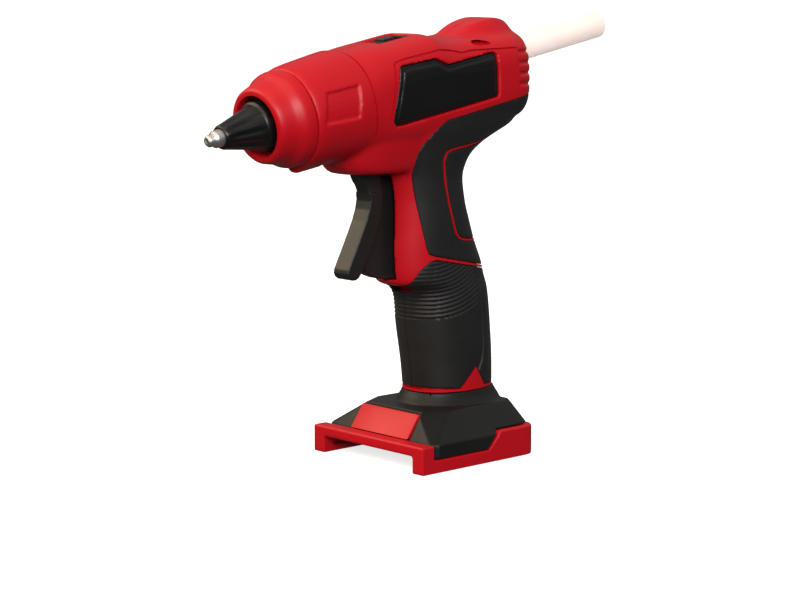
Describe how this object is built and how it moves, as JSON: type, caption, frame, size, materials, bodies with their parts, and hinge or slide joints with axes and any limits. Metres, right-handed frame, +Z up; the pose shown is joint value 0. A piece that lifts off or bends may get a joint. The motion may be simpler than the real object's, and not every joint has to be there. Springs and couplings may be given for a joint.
{
  "type": "cordless glue gun",
  "caption": "Pistol-grip hot-melt glue gun with a nose-down barrel, long trigger lever, soft handle, slide-on battery foot and a glue stick in its rear inlet.",
  "frame": {"origin": "middle of the whole object's box, on the surface that the battery foot stands on", "axes": "+X to the rear, where the glue stick goes in; -X to the nozzle; +Z up; Y across the gun"},
  "size_m": [0.2174, 0.067, 0.1812],
  "materials": {
    "red_shell": "satin moulded",
    "soft_grip": "matt soft-touch",
    "black_plastic": "fine texture",
    "trigger_black": "satin",
    "silicone": "satin",
    "aluminium": "cast",
    "nozzle_metal": "plated",
    "steel": "plain",
    "screw_steel": "plated",
    "brass": "plain",
    "ceramic": "fired",
    "mica": "pressed",
    "glue": "translucent",
    "board": "solder resist",
    "nylon": "moulded"
  },
  "bodies": {
    "gun": {"housing_left": "red_shell", "housing_right": "red_shell", "front_collar": "red_shell", "foot_base": "red_shell", "front_plaque": "red_shell", "grip_upper_left": "soft_grip", "grip_upper_right": "soft_grip", "grip_lower_left": "soft_grip", "grip_lower_right": "soft_grip", "backstrap_pad": "soft_grip", "label_panel_left": "black_plastic", "label_panel_right": "black_plastic", "foot_cover": "black_plastic", "contact_block": "black_plastic", "switch_body": "black_plastic", "stick_guide": "black_plastic", "nozzle_sleeve": "silicone", "inlet_sleeve": "silicone", "melt_chamber": "aluminium", "nozzle_tip": "nozzle_metal", "heater_clip": "steel", "trigger_pin": "steel", "trigger_spring": "steel", "chin_screw": "screw_steel", "barrel_screw": "screw_steel", "body_screw_rear_top": "screw_steel", "body_screw_rear_low": "screw_steel", "handle_screw_upper": "screw_steel", "handle_screw_lower": "screw_steel", "foot_screw_1": "screw_steel", "foot_screw_2": "screw_steel", "foot_screw_3": "screw_steel", "foot_screw_4": "screw_steel", "contact_blade_1": "brass", "contact_blade_2": "brass", "contact_blade_3": "brass", "heater_plate": "ceramic", "thermal_sensor": "ceramic", "chamber_ring_front": "mica", "chamber_ring_rear": "mica", "control_board": "board"},
    "trigger": {"trigger": "trigger_black", "link_pin_front": "steel"},
    "carriage": {"feed_carriage": "nylon", "gripper_pin": "steel", "link_pin_rear": "steel"},
    "gripper": {"gripper_jaw": "steel"},
    "link": {"feed_link": "steel"},
    "stick": {"glue_stick": "glue"},
    "switch": {"power_switch": "black_plastic"}
  },
  "joints": [
    {"name": "trigger_pull", "type": "hinge", "parent": "gun", "child": "trigger", "pos_m": [-0.02717, 0, 0.1285], "axis": [0, -1, 0], "range_deg": [0, 22], "stiffness_Nm_per_rad": 0.8, "springref_deg": -11.46},
    {"name": "carriage_feed", "type": "slide", "parent": "gun", "child": "carriage", "axis": [-0.9839, 0, -0.1788], "range_m": [0, 0.0057]},
    {"name": "gripper_tilt", "type": "hinge", "parent": "carriage", "child": "gripper", "pos_m": [0.00646, 0, 0.14548], "axis": [0, 1, 0], "range_deg": [0, 4.2]},
    {"name": "link_swing", "type": "hinge", "parent": "carriage", "child": "link", "pos_m": [-0.00015, 0, 0.14773], "axis": [0, 1, 0], "range_deg": [0, 1.2]},
    {"name": "stick_slide", "type": "slide", "parent": "gun", "child": "stick", "axis": [0.9839, 0, 0.1788], "range_m": [-0.008, 0.06]},
    {"name": "power_switch_slide", "type": "slide", "parent": "gun", "child": "switch", "axis": [0.9839, 0, 0.1788], "range_m": [0, 0.004]}
  ],
  "couplings": [
    {"joint": "carriage_feed", "follows": "trigger_pull", "m_per_rad": 0.0145},
    {"joint": "gripper_tilt", "follows": "trigger_pull", "ratio": 0.18},
    {"joint": "link_swing", "follows": "trigger_pull", "ratio": 0.048}
  ]
}
